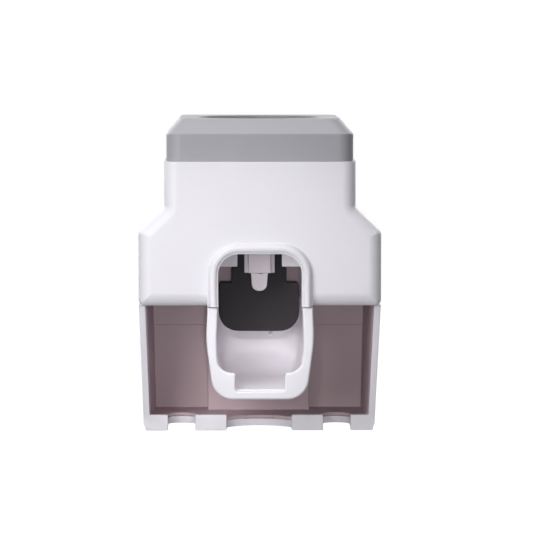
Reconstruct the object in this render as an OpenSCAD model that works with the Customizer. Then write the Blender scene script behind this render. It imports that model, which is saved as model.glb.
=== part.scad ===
// Wall-mounted toothpaste dispenser with two brush bays.
// The collar's seal draws paste from above. Pushing the lever to the wall pumps it through the nozzle.
// Frame: X to the right, Y towards the wall, Z up. The origin is the centre of the adhesive pad's back face.
// Inside the modules a depth is counted from the wall to the front, and a height from the lips' underside.

/* [Body] */
// Width across both brush bays
body_w = 80; // [77:1:88]
// Width of the upper body, under the collar
neck_w = 63; // [61:1:66]
// Width at the foot of the brush bays
foot_w = 78; // [75:0.5:78.5]
// Depth from the wall to the front face
body_d = 62; // [60:1:68]
// Depth from the wall to the seam between rear shell and front cover
seam_d = 36; // [34:1:38]
// Wall thickness of the moulded shells
wall_t = 2.2; // [1.8:0.1:2.4]
// Depth at which the bays' side walls meet the cover, from where they slope back to the lips
arm_d = 56; // [48:1:57]
// Height of the open brush bays, up to the cover's lower edge
bay_h = 44.2; // [43:0.2:48]
// Height of the cover's wide band
band_h = 24.6; // [23:0.2:28]
// Height of the sloping shoulders
shoulder_h = 7.9; // [7:0.1:9]
// Height of the straight neck above the shoulders
neck_h = 15.1; // [14:0.1:17]
// Radius along the cover's front edges
edge_r = 4.5; // [3:0.5:6]
// Corner radius where the shoulders start and end
shoulder_r = 3; // [2:0.5:4]

/* [Floor and lips] */
// Thickness of the bay floor
floor_t = 2.4; // [2:0.1:3]
// Height of the lips along the floor's front edge
lip_h = 5.3; // [4.6:0.1:6]
// Thickness of the lips
lip_t = 2.4; // [2:0.1:3]
// Width of the gap between the two middle lips
lip_gap_w = 22; // [18:0.5:24]
// Depth of the hollow curve in the floor between those lips
floor_curve = 6.6; // [4:0.2:8]
// Width of each slot in the floor
slot_w = 9.2; // [8:0.1:10]
// Distance between the two slots
slot_span = 52.4; // [48:0.2:54]
// Length of each slot behind the lips
slot_l = 14; // [11:0.5:16]

/* [Collar] */
// Height of the collar's upright wall
collar_wall_h = 9; // [8:0.2:12]
// Height of the collar's chamfer
chamfer_h = 5; // [4:0.1:6]
// Width of the collar's chamfer
chamfer_w = 4.35; // [3.5:0.05:4.6]
// Plan corner radius of the collar
collar_r = 5; // [4:0.5:6]
// Radius of the round well in the collar
well_r = 21; // [19:0.5:21.5]

/* [Arch and cup] */
// Clear width of the arch in the cover
arch_w = 27.4; // [26.8:0.2:29]
// Clear height of the arch above the cover's lower edge
arch_h = 17.3; // [17:0.1:18.5]
// Corner radius of the arch
arch_r = 6.8; // [5:0.2:8]
// Width of the raised bead round the arch, and of the cup's rim
bead_w = 3.2; // [3:0.1:3.6]
// How far the bead stands proud of the cover
bead_h = 2.5; // [1.5:0.1:3]
// Height of the cup's underside above the lips' underside
cup_z = 13.6; // [12:0.2:15]
// Width of the cup at its widest
cup_w = 35.6; // [35:0.2:36.4]
// Width of the cup's underside, before its corners are rounded
cup_foot_w = 30.4; // [29:0.2:31.6]
// Radius of the cup's lower corners
cup_r = 7; // [5.5:0.5:8]
// Thickness of the cup's walls
cup_t = 1.8; // [1.4:0.1:2]
// Height of the notch in the cup's front lip, above the cup's underside
notch_z = 2.8; // [2.4:0.1:3.4]
// Width of that notch
notch_w = 16.2; // [14:0.2:17]
// Height of the cup's front lip above its underside
cup_lip_h = 8.8; // [8:0.2:10]

/* [Pump and lever] */
// Radius of the pump bore
bore_r = 4.5; // [4:0.1:4.8]
// Distance from the lever's pivot up to the pump bore
lever_arm = 9; // [8.6:0.1:9.6]
// Swing of the lever, in degrees
swing = 20; // [12:1:21]
// Width of the lever's paddle
paddle_w = 27.2; // [24:0.2:27.6]
// Height of the lever's paddle
paddle_h = 16.6; // [14:0.2:18]
// Width of the lever's stem
stem_w = 18.6; // [16.6:0.2:19]
// Thickness of the lever
lever_t = 2.5; // [2:0.1:2.8]
// Radius of the lever's pivot pin
pin_r = 1.5; // [1.2:0.1:1.6]
// Radius of the seal's bore, which grips what stands in it
neck_seal_r = 6.4; // [5.5:0.1:7]
// Height of the seal
seal_h = 9.5; // [8:0.5:10]
// Wire diameter of the return spring
wire_d = 0.6; // [0.5:0.05:0.7]
// Turns of the return spring
spring_turns = 5.5; // [4.5:0.5:6.5]

/* [Wall plate] */
// Width of the wall plate
plate_w = 48; // [40:1:50]
// Height of the wall plate
plate_h = 50; // [44:1:52]
// Thickness of the wall plate
plate_t = 2.4; // [2:0.1:3]
// Thickness of the adhesive pad
pad_t = 1; // [0.8:0.1:1.5]
// Height of the wall plate's centre above the lips' underside
mount_z = 62; // [60:1:62]
// Height that the dispenser lifts to leave its hooks
hook_lift = 6; // [5:0.5:6.5]

/* [Hidden] */
$fn = 48;

// Colours as the photograph shows them
white = "#ebe9ee";
grey = "#96959b";
taupe = "#7d6d70";
black = "#302b2f";
clear = "#b4abb1";
steel = "#b8babd";

// Clearances
fit = 0.3; // between pieces that are put together by hand
snug = 0.15; // between pieces that are guided
running = 0.05; // round a turning or sliding shaft
over = 1; // how far a cut runs past the face that it opens

// Small thicknesses
liner_t = 1.2;
liner_floor_t = 1;
liner_back_off = 1; // the liner's front edge lies this far behind the shell's
line_step = 0.8; // how far the liner's upper stretch stands proud of the lower
wall_gap = 0.5; // between the shell's rear edge and the wall
panel_t = 2;
foot_t = 2;
deck_t = 2.5;
gasket_t = 0.5;
bore_wall = 1.4; // under the pump bore
bore_roof = 1.2; // over the pump bore
end_wall = 1.5; // in front of the pump bore
bore_side = 3.5; // beside the pump bore
cap_t = 2.2;
cap_edge = 0.8; // chamfer round the seal's cap
cap_skirt_t = 1.35;
cap_skirt_h = 5;

// Heights
floor_z = 0.8; // the lips' underside hangs this far below the floor
panel_drop = 5.1; // from the arch's top down to the front panels' lower edge
pivot_lift = 2.9; // from that edge up to the lever's pivot
lever_drop = 26.2; // from the pivot down to the paddle's foot
nozzle_drop = 2.4; // from the panels' lower edge down to the nozzle's block
tongue_l = 6.2;
cavity_h = 1.8; // the space over the inlet valve
line_drop = 11; // from the top of the bays down to the step across their backs
bay_floor = floor_z + floor_t;
shoulder_z = bay_h + band_h;
neck_z = shoulder_z + shoulder_h;
rim_z = neck_z + neck_h;
collar_z = rim_z + collar_wall_h;
top_z = collar_z + chamfer_h;
arch_z = bay_h + arch_h;
panel_z = arch_z - panel_drop;
pivot_z = panel_z + pivot_lift;
bore_z = pivot_z + lever_arm;
cylinder_foot = bore_z - bore_r - bore_wall;
gasket_z = bore_z + bore_r + bore_roof;
plate_z = gasket_z + gasket_t;
deck_z = plate_z + deck_t;
seal_z = deck_z + cavity_h;
paddle_z = pivot_z - lever_drop;
shoulder_of_lever = paddle_z + paddle_h;
nozzle_z = panel_z - nozzle_drop;
tip_z = nozzle_z - tongue_l;
line_z = bay_h - line_drop;
arm_z = bay_h - fit; // the top of the bays' side walls, under the cover

// Depths
lip_in = 0.6; // the outer lips end this far inside the foot's sides
collar_in = 0.75; // the collar stands this far inside the shells
mouth_rim = 0.9; // flat rim between the collar's chamfer and its well
lip_proud = 0.8; // the lips stand this far in front of the seam
tube_to_lever = 4.5;
pivot_in = 3; // the pivot lies this far behind the lever's face
cylinder_gap = 2; // between the lever's face and the pump cylinder
chamber_l = 13;
valve_in = 5.5; // the inlet valve's axis lies this far behind the cylinder's front
nozzle_in = 4.5; // and the nozzle's axis this far
boss_l = 2; // bosses in the rear shell that carry the chassis
bowl_room = 2.4; // left between the pressed lever and the cup's back
rim_t = 2.5;
rim_proud = 1.5; // the cup's rim stands this far in front of the cover
tunnel_in = 2; // the arch's tunnel runs this far behind the cover's wall
wing_gap = 0.5;
back_d = pad_t + plate_t + fit;
inner_d = back_d + wall_t;
tube_d = body_d - collar_in - chamfer_w - mouth_rim - well_r;
lever_d = tube_d - tube_to_lever;
lip_front_d = seam_d + lip_proud;
lip_back_d = lip_front_d - lip_t;
lever_back_d = lever_d - lever_t;
pivot_d = lever_d - pivot_in;
cylinder_back_d = lever_d + cylinder_gap;
chamber_end_d = cylinder_back_d + chamber_l;
cylinder_front_d = chamber_end_d + end_wall;
valve_d = cylinder_front_d - valve_in;
nozzle_d = cylinder_front_d - nozzle_in;
panel_d = cylinder_front_d + fit;
foot_d = inner_d + boss_l;
swing_room = (pivot_z - paddle_z) * sin(swing);
cup_inner_d = lever_back_d - swing_room - bowl_room;
cup_back_d = cup_inner_d - cup_t;
rim_d = body_d + rim_proud;
tunnel_d = body_d - wall_t - tunnel_in;
cup_wing_d = tunnel_d - wing_gap;

// Cup
cup_wall_in = 1.3; // the cup's walls stand this far inside its rim
cup_draw = 0.5; // how far each side of the cup draws in above its widest place
cup_bulge = 11.2; // from the cover's edge down to the widest place
wing_in = 0.5; // the wings that reach into the arch stand this far inside the walls
mouth_in = 0.7; // the cup's mouth is this much narrower than the arch's bead on each side
mouth_flare = 0.4;
mouth_w = cup_w - 2 * bead_w - 2 * mouth_in;
mouth_r = 5;
bowl_r = 8;
pedestal_w = 34.8; // the liner's block that the cup's back rests on

// Pump
nose_r = 2; // the lever's nose, which pushes the plunger's rod
nose_w = 4.4;
nose_in = 1.75; // the nose's axis lies this far in front of the pivot
rod_r = 2.5;
rod_end_d = pivot_d + nose_in + nose_r + running;
piston_l = 3.5;
piston_in = 1.2;
piston_d = cylinder_back_d + piston_in;
piston_front_d = piston_d + piston_l;
piston_gap = 0.08;
ring_r = 0.58; // the plunger seal's own thickness, halved
ring_in = 0.04;
groove_w = 1.5;
groove_h = 1.2;
groove_d = piston_d + (piston_l - groove_w) / 2;
socket_r = 11.2;
socket_t = 2;
cavity_r = 9.6;
valve_r = 3.5;
valve_t = 0.7;
stem_r = 0.9;
knob_h = 1.2; // the stem's thicker end, above the deck
port_r = 0.7;
port_ring = 2.1;
gasket_r = 4.2;
gasket_w = 1.2;
lug_w = 4.8;
lug_h = 3;
nozzle_gap_w = 14.8; // between the front panels
block_w = 7.5; // the block under the cylinder that carries the nozzle
block_front_w = 10.15;
plug_r = 2.9; // the nozzle's round root in that block
plug_h = 4;
bore_out = 1.6;
tongue_r = 2.4; // half the tongue's width at its round end
tongue_w = 5.74; // its width where it leaves the block
tongue_t = 1.8;
tongue_root_t = 5.6;
slit_w = 3;
slit_t = 0.4;

// Lever
ear_gap = 1; // between the lever's stem and the chassis's ears
ear_x = stem_w / 2 + ear_gap;
ear_t = 2.5;
ear_half = 3.4;
ear_drop = 2.6; // the ears' length below the pivot
barrel_r = 2.6;
paddle_r = 6.5;
shoulder_in = 1.2;
rest_t = 2; // the stops that the lever rests against
clip_t = 0.7;
pin_head_w = 1;
pin_end = 1.6;

// Screws
screw_r = 1.1;
head_r = 2.1;
head_h = 1.4;
post_r = 3; // the posts that the screws go into
foot_x = 22;
foot_half = 5;
low_screw_z = pivot_z + 7;
high_screw_z = rim_z - 8.6;
cup_screw_x = 7;
cup_screw_z = cup_z + 12;
cup_screw_end_d = cup_back_d - 4;
lug_x = 10.2;

// Wall plate and hooks
plate_r = 6;
pad_in = 2;
hook_x = 9;
hook_w = 7;
hook_stem_h = 4;
hook_z = mount_z + 4;
hook_lip_t = 1.6;
hook_rise = hook_lift - 1;

// Tabs that hold the cover in the rear shell
tab_t = 1.4;
tab_l = 1.4; // their length behind the seam
tab_root = 5;
tab_h = 8;
tab_foot_t = 0.4;
tab_z = [bay_h + 6, shoulder_z - 10];

// Bead and skirt
bead_step = 0.8;
bead_edge = 0.9;
skirt_h = 4;
skirt_t = 1.5;
skirt_r = 2.6; // its corners in front
skirt_back_r = 1;
well_wall = 1.6;

// Outlines as [x, z, corner radius], anticlockwise seen from the front
body_outline = [
    [-foot_w / 2, floor_z, 2], [foot_w / 2, floor_z, 2], [body_w / 2, bay_h, 30],
    [body_w / 2, shoulder_z, shoulder_r], [neck_w / 2, neck_z, shoulder_r], [neck_w / 2, rim_z, 0],
    [-neck_w / 2, rim_z, 0], [-neck_w / 2, neck_z, shoulder_r], [-body_w / 2, shoulder_z, shoulder_r],
    [-body_w / 2, bay_h, 30]
];
cup_bulge_z = bay_h - cup_bulge;
cup_top = bay_h - fit;
cup_outline = [
    [-cup_foot_w / 2, cup_z, cup_r], [cup_foot_w / 2, cup_z, cup_r], [cup_w / 2, cup_bulge_z, 14],
    [cup_w / 2 - cup_draw, cup_top, 0], [-cup_w / 2 + cup_draw, cup_top, 0], [-cup_w / 2, cup_bulge_z, 14]
];

function unit(v) = v / norm(v);
function at(c, i) = c[(i + len(c)) % len(c)];
function flat(p) = [p.x, p.y];

// Moves every side of an outline inwards by d
function inset(c, d) = [
    for (i = [0:len(c) - 1])
        let (
            a = unit(flat(c[i]) - flat(at(c, i - 1))),
            b = unit(flat(at(c, i + 1)) - flat(c[i])),
            m = [-a.y, a.x],
            n = [-b.y, b.x],
            k = d / (1 + m * n),
            turn = a.x * b.y - a.y * b.x,
            r = c[i][2],
            moved = flat(c[i]) + (m + n) * k
        )
            [moved.x, moved.y, r == 0 ? 0 : turn > 0 ? max(r - d, 0.2) : r + d]
];

// The points of an outline, with its corners rounded by arcs of n steps
function rounded(c, n = 6) = [
    for (i = [0:len(c) - 1])
        let (
            q = flat(c[i]),
            u = unit(flat(at(c, i - 1)) - q),
            v = unit(flat(at(c, i + 1)) - q),
            half = acos(u * v) / 2,
            m = q + unit(u + v) * c[i][2] / sin(half),
            s = q + u * c[i][2] / tan(half) - m,
            e = q + v * c[i][2] / tan(half) - m,
            from = atan2(s.y, s.x),
            turn = (atan2(e.y, e.x) - from + 540) % 360 - 180
        )
            each c[i][2] == 0
                ? [q]
                : [for (k = [0:n]) m + c[i][2] * [cos(from + turn * k / n), sin(from + turn * k / n)]]
];

// An outline in X and Z, drawn from depth d0 to depth d1
module slab(d0, d1) {
    translate([0, -d0, 0])
        rotate([90, 0, 0])
            linear_extrude(d1 - d0)
                children();
}

module block(x0, x1, d0, d1, z0, z1) {
    translate([x0, -d1, z0])
        cube([x1 - x0, d1 - d0, z1 - z0]);
}

// A bar across the middle, w wide
module bar(w, d0, d1, z0, z1) {
    block(-w / 2, w / 2, d0, d1, z0, z1);
}

// A cylinder along the depth, upright, or across
module rod(x, z, r, d0, d1) {
    translate([x, -d0, z])
        rotate([90, 0, 0])
            cylinder(h = d1 - d0, r = r);
}

module post(x, d, r, z0, z1) {
    translate([x, -d, z0])
        cylinder(h = z1 - z0, r = r);
}

module axle(x0, x1, d, z, r) {
    translate([x0, -d, z])
        rotate([0, 90, 0])
            cylinder(h = x1 - x0, r = r);
}

module both_sides() {
    children();
    mirror([1, 0, 0])
        children();
}

// Puts a piece in the part's own frame
module placed() {
    translate([0, 0, -mount_z])
        children();
}

// A plan with a rounded pair of corners towards the wall, from height z0 to z1
module plan(half_w, d0, d1, r, z0, z1) {
    translate([0, 0, z0])
        linear_extrude(z1 - z0)
            polygon(rounded([[-half_w, -d1, 0], [half_w, -d1, 0], [half_w, -d0, r], [-half_w, -d0, r]]));
}

// The cuts for the floor's slots and its hollow curve, larger by grow
module floor_cuts(grow, z0, z1) {
    end_d = seam_d - slot_l + slot_w / 2;
    both_sides() {
        block(slot_span / 2 - slot_w / 2 - grow, slot_span / 2 + slot_w / 2 + grow,
            end_d, seam_d + lip_t, z0, z1);
        post(slot_span / 2, end_d, slot_w / 2 + grow, z0, z1);
    }
    curve_r = (pow(lip_gap_w / 2, 2) + pow(floor_curve, 2)) / (2 * floor_curve);
    post(0, seam_d + curve_r - floor_curve, curve_r + grow, z0, z1);
}

module adhesive_pad() {
    color(clear)
        slab(0, pad_t)
            polygon(rounded([
                for (p = [[-1, -1], [1, -1], [1, 1], [-1, 1]])
                    [p.x * (plate_w / 2 - pad_in), mount_z + p.y * (plate_h / 2 - pad_in), plate_r - 1]
            ]));
}

module wall_plate() {
    color(white) {
        slab(pad_t, pad_t + plate_t)
            polygon(rounded([
                for (p = [[-1, -1], [1, -1], [1, 1], [-1, 1]])
                    [p.x * plate_w / 2, mount_z + p.y * plate_h / 2, plate_r]
            ]));
        both_sides() {
            block(hook_x - hook_w / 2, hook_x + hook_w / 2, pad_t + plate_t, inner_d + fit,
                hook_z, hook_z + hook_stem_h);
            block(hook_x - hook_w / 2, hook_x + hook_w / 2, inner_d + fit, inner_d + fit + hook_lip_t,
                hook_z, hook_z + hook_stem_h + hook_rise);
        }
    }
}

// The side view that the shell and its liner keep to: up to the seam above the bays, and
// sloping back from the cover to the lips below it. Smaller by back_off along the bays' open
// front, and by top_off above the bays
module side_profile(back_off, top_off) {
    translate([-body_w, 0, 0])
        rotate([90, 0, 90])
            linear_extrude(2 * body_w)
                polygon([
                    [over, -over], [over, rim_z + over], [top_off - seam_d, rim_z + over],
                    [top_off - seam_d, arm_z],
                    [back_off - arm_d, arm_z - back_off], [back_off - lip_front_d, lip_h],
                    [back_off - lip_front_d, -over]
                ]);
}

module lips() {
    both_sides()
        for (x = [lip_gap_w / 2, slot_span / 2 + slot_w / 2])
            block(x, x < slot_span / 2 ? slot_span / 2 - slot_w / 2 : foot_w / 2 - lip_in,
                lip_back_d, lip_front_d, 0, lip_h);
}

module rear_shell() {
    color(white) {
        difference() {
            intersection() {
                slab(wall_gap, arm_d)
                    polygon(rounded(body_outline));
                side_profile(0, 0);
            }
            // the bays, open at the front and the top
            slab(inner_d, arm_d + over)
                polygon(rounded(inset(body_outline, wall_t)));
            block(-neck_w / 2 + wall_t, neck_w / 2 - wall_t, inner_d, seam_d + over, neck_z, rim_z + over);
            // the pocket for the wall plate
            slab(0, back_d)
                polygon(rounded(inset(body_outline, wall_t)));
            // windows for the hooks
            both_sides()
                block(hook_x - hook_w / 2 - fit, hook_x + hook_w / 2 + fit, back_d - over, inner_d + over,
                    hook_z - hook_lift, hook_z + hook_stem_h + snug);
            floor_cuts(0, -over, bay_floor + over);
            both_sides() {
                for (z = [low_screw_z, high_screw_z])
                    rod(foot_x, z, screw_r, back_d - over, inner_d + over);
                rod(cup_screw_x, cup_screw_z, screw_r + snug, back_d - over, inner_d + over);
            }
        }
        // the floor between the bays' walls, at its own thickness
        difference() {
            bar(foot_w - 2 * wall_t, wall_gap, seam_d, floor_z, bay_floor);
            floor_cuts(0, -over, bay_floor + over);
        }
        lips();
        both_sides()
            for (z = [low_screw_z, high_screw_z])
                difference() {
                    rod(foot_x, z, post_r, inner_d, foot_d);
                    rod(foot_x, z, screw_r, inner_d - over, foot_d + over);
                }
    }
}

module bay_liner() {
    liner = inset(body_outline, wall_t + snug);
    liner_top = pivot_z;
    liner_z = bay_floor + running;
    color(taupe)
        difference() {
            union() {
                // the back panel with its side walls
                intersection() {
                    difference() {
                        slab(inner_d, arm_d)
                            polygon(rounded(liner));
                        slab(inner_d + liner_t, arm_d + over)
                            polygon(rounded(inset(liner, liner_t)));
                    }
                    side_profile(liner_back_off, tab_l + fit);
                    bar(body_w, 0, body_d, liner_z, liner_top);
                }
                // the thicker stretch above the step
                intersection() {
                    slab(inner_d, inner_d + liner_t + line_step)
                        polygon(rounded(liner));
                    bar(body_w, 0, body_d, line_z, liner_top);
                }
                bar(foot_w - 2 * (wall_t + snug), inner_d, lip_back_d - fit,
                    liner_z, liner_z + liner_floor_t);
                bar(pedestal_w, inner_d, cup_back_d, liner_z, cup_top);
            }
            bar(pedestal_w - 2 * liner_t, 0, cup_back_d - liner_t, 0, cup_top - liner_t);
            // behind the lips
            bar(body_w, lip_back_d - fit, lip_front_d, 0, lip_h + fit);
            floor_cuts(fit, 0, bay_floor + 2 * over);
            both_sides() {
                rod(cup_screw_x, cup_screw_z, post_r + fit, 0, cup_back_d + over);
                for (z = [low_screw_z, high_screw_z])
                    rod(foot_x, z, post_r + fit, 0, foot_d + over);
            }
        }
}

// The cup's outline smaller by d, and running up past height z_top
function cup_section(d, z_top) = [
    for (p = inset(cup_outline, d)) p.y > cup_bulge_z + 2 ? [p.x, z_top, 0] : p
];

module brush_cup() {
    wall_x = cup_w / 2 - cup_wall_in;
    wing_x = wall_x - wing_in;
    wing_z = panel_z - 1.1;
    color(white) {
        difference() {
            union() {
                slab(rim_d - rim_t, rim_d)
                    polygon(rounded(cup_outline));
                intersection() {
                    slab(cup_back_d, rim_d)
                        polygon(rounded(cup_section(cup_wall_in, cup_top)));
                    plan(wall_x, cup_back_d, rim_d, bowl_r + cup_t, 0, cup_top);
                }
                both_sides()
                    block(wing_x - cup_t, wing_x, cup_inner_d + bowl_r, cup_wing_d, cup_top - cup_t, wing_z);
            }
            // the bowl, with wide corners at the back
            intersection() {
                slab(cup_inner_d, rim_d - rim_t)
                    polygon(rounded(cup_section(cup_wall_in + cup_t, cup_top + over)));
                plan(wall_x - cup_t, cup_inner_d, rim_d, bowl_r, 0, cup_top + over);
            }
            // the mouth above the front lip, and the notch in it
            slab(rim_d - rim_t - over, rim_d + over)
                polygon(rounded([
                    [-mouth_w / 2, cup_z + cup_lip_h, mouth_r], [mouth_w / 2, cup_z + cup_lip_h, mouth_r],
                    [mouth_w / 2 + mouth_flare, cup_bulge_z, 14], [mouth_w / 2, cup_top + over, 0],
                    [-mouth_w / 2, cup_top + over, 0], [-mouth_w / 2 - mouth_flare, cup_bulge_z, 14]
                ]));
            bar(notch_w, rim_d - rim_t - over, rim_d + over, cup_z + notch_z, cup_z + cup_lip_h + over);
        }
        both_sides()
            difference() {
                rod(cup_screw_x, cup_screw_z, post_r, inner_d, cup_back_d + 1);
                rod(cup_screw_x, cup_screw_z, screw_r, inner_d - over, cup_back_d - 0.5);
            }
    }
}

module cup_screws() {
    color(steel)
        both_sides() {
            rod(cup_screw_x, cup_screw_z, head_r, back_d - head_h, back_d);
            rod(cup_screw_x, cup_screw_z, screw_r - running, back_d, cup_screw_end_d);
        }
}

// The cover's convex forms: the neck, and the wide band with its shoulders
module cover_form(c, off, z_top) {
    inner = inset(c, edge_r);
    hull() {
        for (p = inner)
            translate([p.x, -(body_d - edge_r), p.y])
                sphere(r = edge_r - off, $fn = 32);
        slab(seam_d - off, seam_d + 0.1)
            polygon(rounded(inset(c, off)));
        slab(seam_d - off, body_d - edge_r)
            polygon([for (p = inset(c, off)) [p.x, p.y > z_top ? z_top : p.y]]);
    }
}

module front_cover() {
    low = [
        [-body_w / 2, bay_h, 0.4], [body_w / 2, bay_h, 0.4], [body_w / 2, shoulder_z, shoulder_r],
        [neck_w / 2, neck_z, 0.4], [-neck_w / 2, neck_z, 0.4], [-body_w / 2, shoulder_z, shoulder_r]
    ];
    color(white) {
        difference() {
            union() {
                cover_body(low, 0);
                // the raised bead and the tunnel behind it
                slab(tunnel_d, body_d + bead_h - bead_edge)
                    polygon(rounded(arch(bead_w)));
                slab(tunnel_d, body_d + bead_h)
                    polygon(rounded(arch(bead_w - bead_step)));
            }
            difference() {
                cover_body(low, wall_t);
                slab(tunnel_d, body_d)
                    polygon(rounded(arch(bead_w)));
            }
            slab(tunnel_d - over, body_d + bead_h + over)
                polygon(rounded(arch(0)));
            slab(body_d + bead_h - bead_edge, body_d + bead_h + over)
                polygon(rounded(arch(bead_step)));
            // room for the cup's walls in the lower flange
            bar(cup_w - 2 * (cup_wall_in - fit), seam_d - over, tunnel_d,
                bay_h - over, bay_h + edge_r + over);
        }
        // tabs that hold the cover in the rear shell, and their feet on the cover's wall
        tab_x = body_w / 2 - wall_t - snug;
        both_sides()
            for (z = tab_z) {
                block(tab_x - tab_t, tab_x, seam_d - tab_l, seam_d + tab_root, z, z + tab_h);
                block(tab_x - tab_foot_t, tab_x + snug, seam_d + 0.5, seam_d + tab_root, z, z + tab_h);
            }
    }
}

// An arch of the clear width and height, wider by grow all round, with its foot on the cover's lower edge
function arch(grow) = [
    [-arch_w / 2 - grow, bay_h - (grow > 0 ? 0 : 1), 0], [arch_w / 2 + grow, bay_h - (grow > 0 ? 0 : 1), 0],
    [arch_w / 2 + grow, arch_z + grow, arch_r + grow], [-arch_w / 2 - grow, arch_z + grow, arch_r + grow]
];

module cover_body(low, off) {
    cover_form(low, off, neck_z);
    r = edge_r - off;
    half = neck_w / 2 - edge_r;
    // the neck stands on the band, with upright rounded corners
    hull() {
        both_sides()
            post(half, body_d - edge_r, r, shoulder_z - 10, rim_z + off);
        bar(neck_w - 2 * off, seam_d - off, seam_d + 0.1, shoulder_z - 10, rim_z + off);
    }
}

// The collar's plan, with all four corners rounded, smaller by off
module collar_plan(off) {
    half = neck_w / 2 - collar_in - off;
    back = wall_gap + collar_in + off;
    front = body_d - collar_in - off;
    polygon(rounded([
        for (p = [[-half, -front], [half, -front], [half, -back], [-half, -back]])
            [p.x, p.y, collar_r]
    ]));
}

module collar_form(off) {
    slope = chamfer_w / chamfer_h;
    hull() {
        translate([0, 0, rim_z])
            linear_extrude(collar_wall_h)
                collar_plan(off);
        translate([0, 0, rim_z])
            linear_extrude(top_z - rim_z - off)
                collar_plan(off + chamfer_w - off * slope * 0.4);
    }
}

module top_collar() {
    half = neck_w / 2 - wall_t - snug;
    back = inner_d + fit;
    front = body_d - wall_t - fit;
    color(grey)
        difference() {
            union() {
                collar_form(0);
                // the skirt that drops inside both shells
                translate([0, 0, rim_z - skirt_h])
                    linear_extrude(skirt_h + wall_t / 2)
                        polygon(rounded([
                            [-half, -front, skirt_r], [half, -front, skirt_r],
                            [half, -back, skirt_back_r], [-half, -back, skirt_back_r]
                        ]));
            }
            difference() {
                collar_form(wall_t);
                post(0, tube_d, well_r + well_wall, rim_z, top_z);
            }
            translate([0, 0, rim_z - skirt_h - over])
                linear_extrude(skirt_h + 2 * over)
                    polygon(rounded([
                        [-half + skirt_t, -front + skirt_t, skirt_r - skirt_t],
                        [half - skirt_t, -front + skirt_t, skirt_r - skirt_t],
                        [half - skirt_t, -back - skirt_t, 0.6], [-half + skirt_t, -back - skirt_t, 0.6]
                    ]));
            post(0, tube_d, well_r, rim_z - over, top_z + over);
        }
}

module pump_chassis() {
    side_x = foot_x + foot_half;
    foot_top = rim_z - skirt_h - 0.6;
    rest_d = lever_d + running;
    color(white)
        difference() {
            union() {
                // deck, front panels, side walls and feet
                bar(2 * side_x, foot_d + foot_t, panel_d + panel_t, plate_z, deck_z);
                bar(2 * side_x, panel_d, panel_d + panel_t, panel_z, deck_z);
                both_sides() {
                    block(side_x - foot_t, side_x, foot_d, panel_d + panel_t, panel_z + 4, deck_z);
                    block(foot_x - foot_half, side_x, foot_d, foot_d + foot_t, low_screw_z - 4, foot_top);
                    block(ear_x, ear_x + ear_t, pivot_d - ear_half, pivot_d + ear_half,
                        pivot_z - ear_drop, deck_z);
                    // the stops that the lever rests against
                    block(stem_w / 2 - 0.7, ear_x + ear_t, rest_d, rest_d + rest_t,
                        pivot_z - ear_drop, pivot_z - ear_drop + rest_t);
                    block(ear_x, ear_x + ear_t, pivot_d, rest_d + rest_t, pivot_z - ear_drop, pivot_z + 3);
                }
                post(0, tube_d, socket_r + socket_t, plate_z, seal_z + seal_h);
            }
            // the gap for the nozzle between the panels
            bar(nozzle_gap_w, panel_d - over, panel_d + panel_t + over, panel_z - over, nozzle_z + 9);
            post(0, tube_d, socket_r, seal_z, seal_z + seal_h + over);
            post(0, tube_d, cavity_r, deck_z, seal_z + over);
            // the valve's stem hole and the ports round it
            post(0, valve_d, stem_r + snug, plate_z - over, deck_z + over);
            for (a = [0:60:300])
                translate([port_ring * cos(a), -port_ring * sin(a), 0])
                    post(0, valve_d, port_r, plate_z - over, deck_z + over);
            both_sides() {
                axle(ear_x - over, ear_x + ear_t + over, pivot_d, pivot_z, pin_r + running / 2);
                for (z = [low_screw_z, high_screw_z])
                    rod(foot_x, z, screw_r + snug, foot_d - over, foot_d + foot_t + over);
                post(lug_x, valve_d, screw_r, plate_z - over, deck_z - 0.5);
            }
        }
}

module chassis_screws() {
    color(steel)
        both_sides()
            for (z = [low_screw_z, high_screw_z]) {
                rod(foot_x, z, head_r, foot_d + foot_t, foot_d + foot_t + head_h);
                rod(foot_x, z, screw_r - running, back_d + 0.2, foot_d + foot_t);
            }
}

// A ring turned round the upright axis at depth d, from [radius, height] points
module turned(d) {
    translate([0, -d, 0])
        rotate_extrude()
            children();
}

module tube_seal() {
    color(clear)
        turned(tube_d)
            polygon([
                [neck_seal_r, seal_z], [socket_r, seal_z], [socket_r, seal_z + seal_h],
                [neck_seal_r + 1.5, seal_z + seal_h], [neck_seal_r, seal_z + seal_h - 1.5]
            ]);
}

module seal_cap() {
    mouth = neck_seal_r + 1.8;
    inside = socket_r + socket_t + running;
    out = inside + cap_skirt_t;
    cap_z = seal_z + seal_h;
    top = cap_z + cap_t;
    color(white)
        turned(tube_d)
            polygon([
                [mouth, cap_z], [inside, cap_z], [inside, cap_z - cap_skirt_h], [out, cap_z - cap_skirt_h],
                [out, top - cap_edge], [out - cap_edge, top],
                [mouth + cap_edge, top], [mouth, top - cap_edge]
            ]);
}

module inlet_valve() {
    color(clear) {
        post(0, valve_d, valve_r, plate_z - valve_t, plate_z);
        post(0, valve_d, stem_r, plate_z - valve_t, deck_z + knob_h);
        post(0, valve_d, stem_r + 0.4, deck_z, deck_z + knob_h);
    }
}

module cylinder_gasket() {
    color(clear)
        difference() {
            post(0, valve_d, gasket_r + gasket_w, gasket_z, plate_z);
            post(0, valve_d, gasket_r, gasket_z - over, plate_z + over);
        }
}

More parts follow.
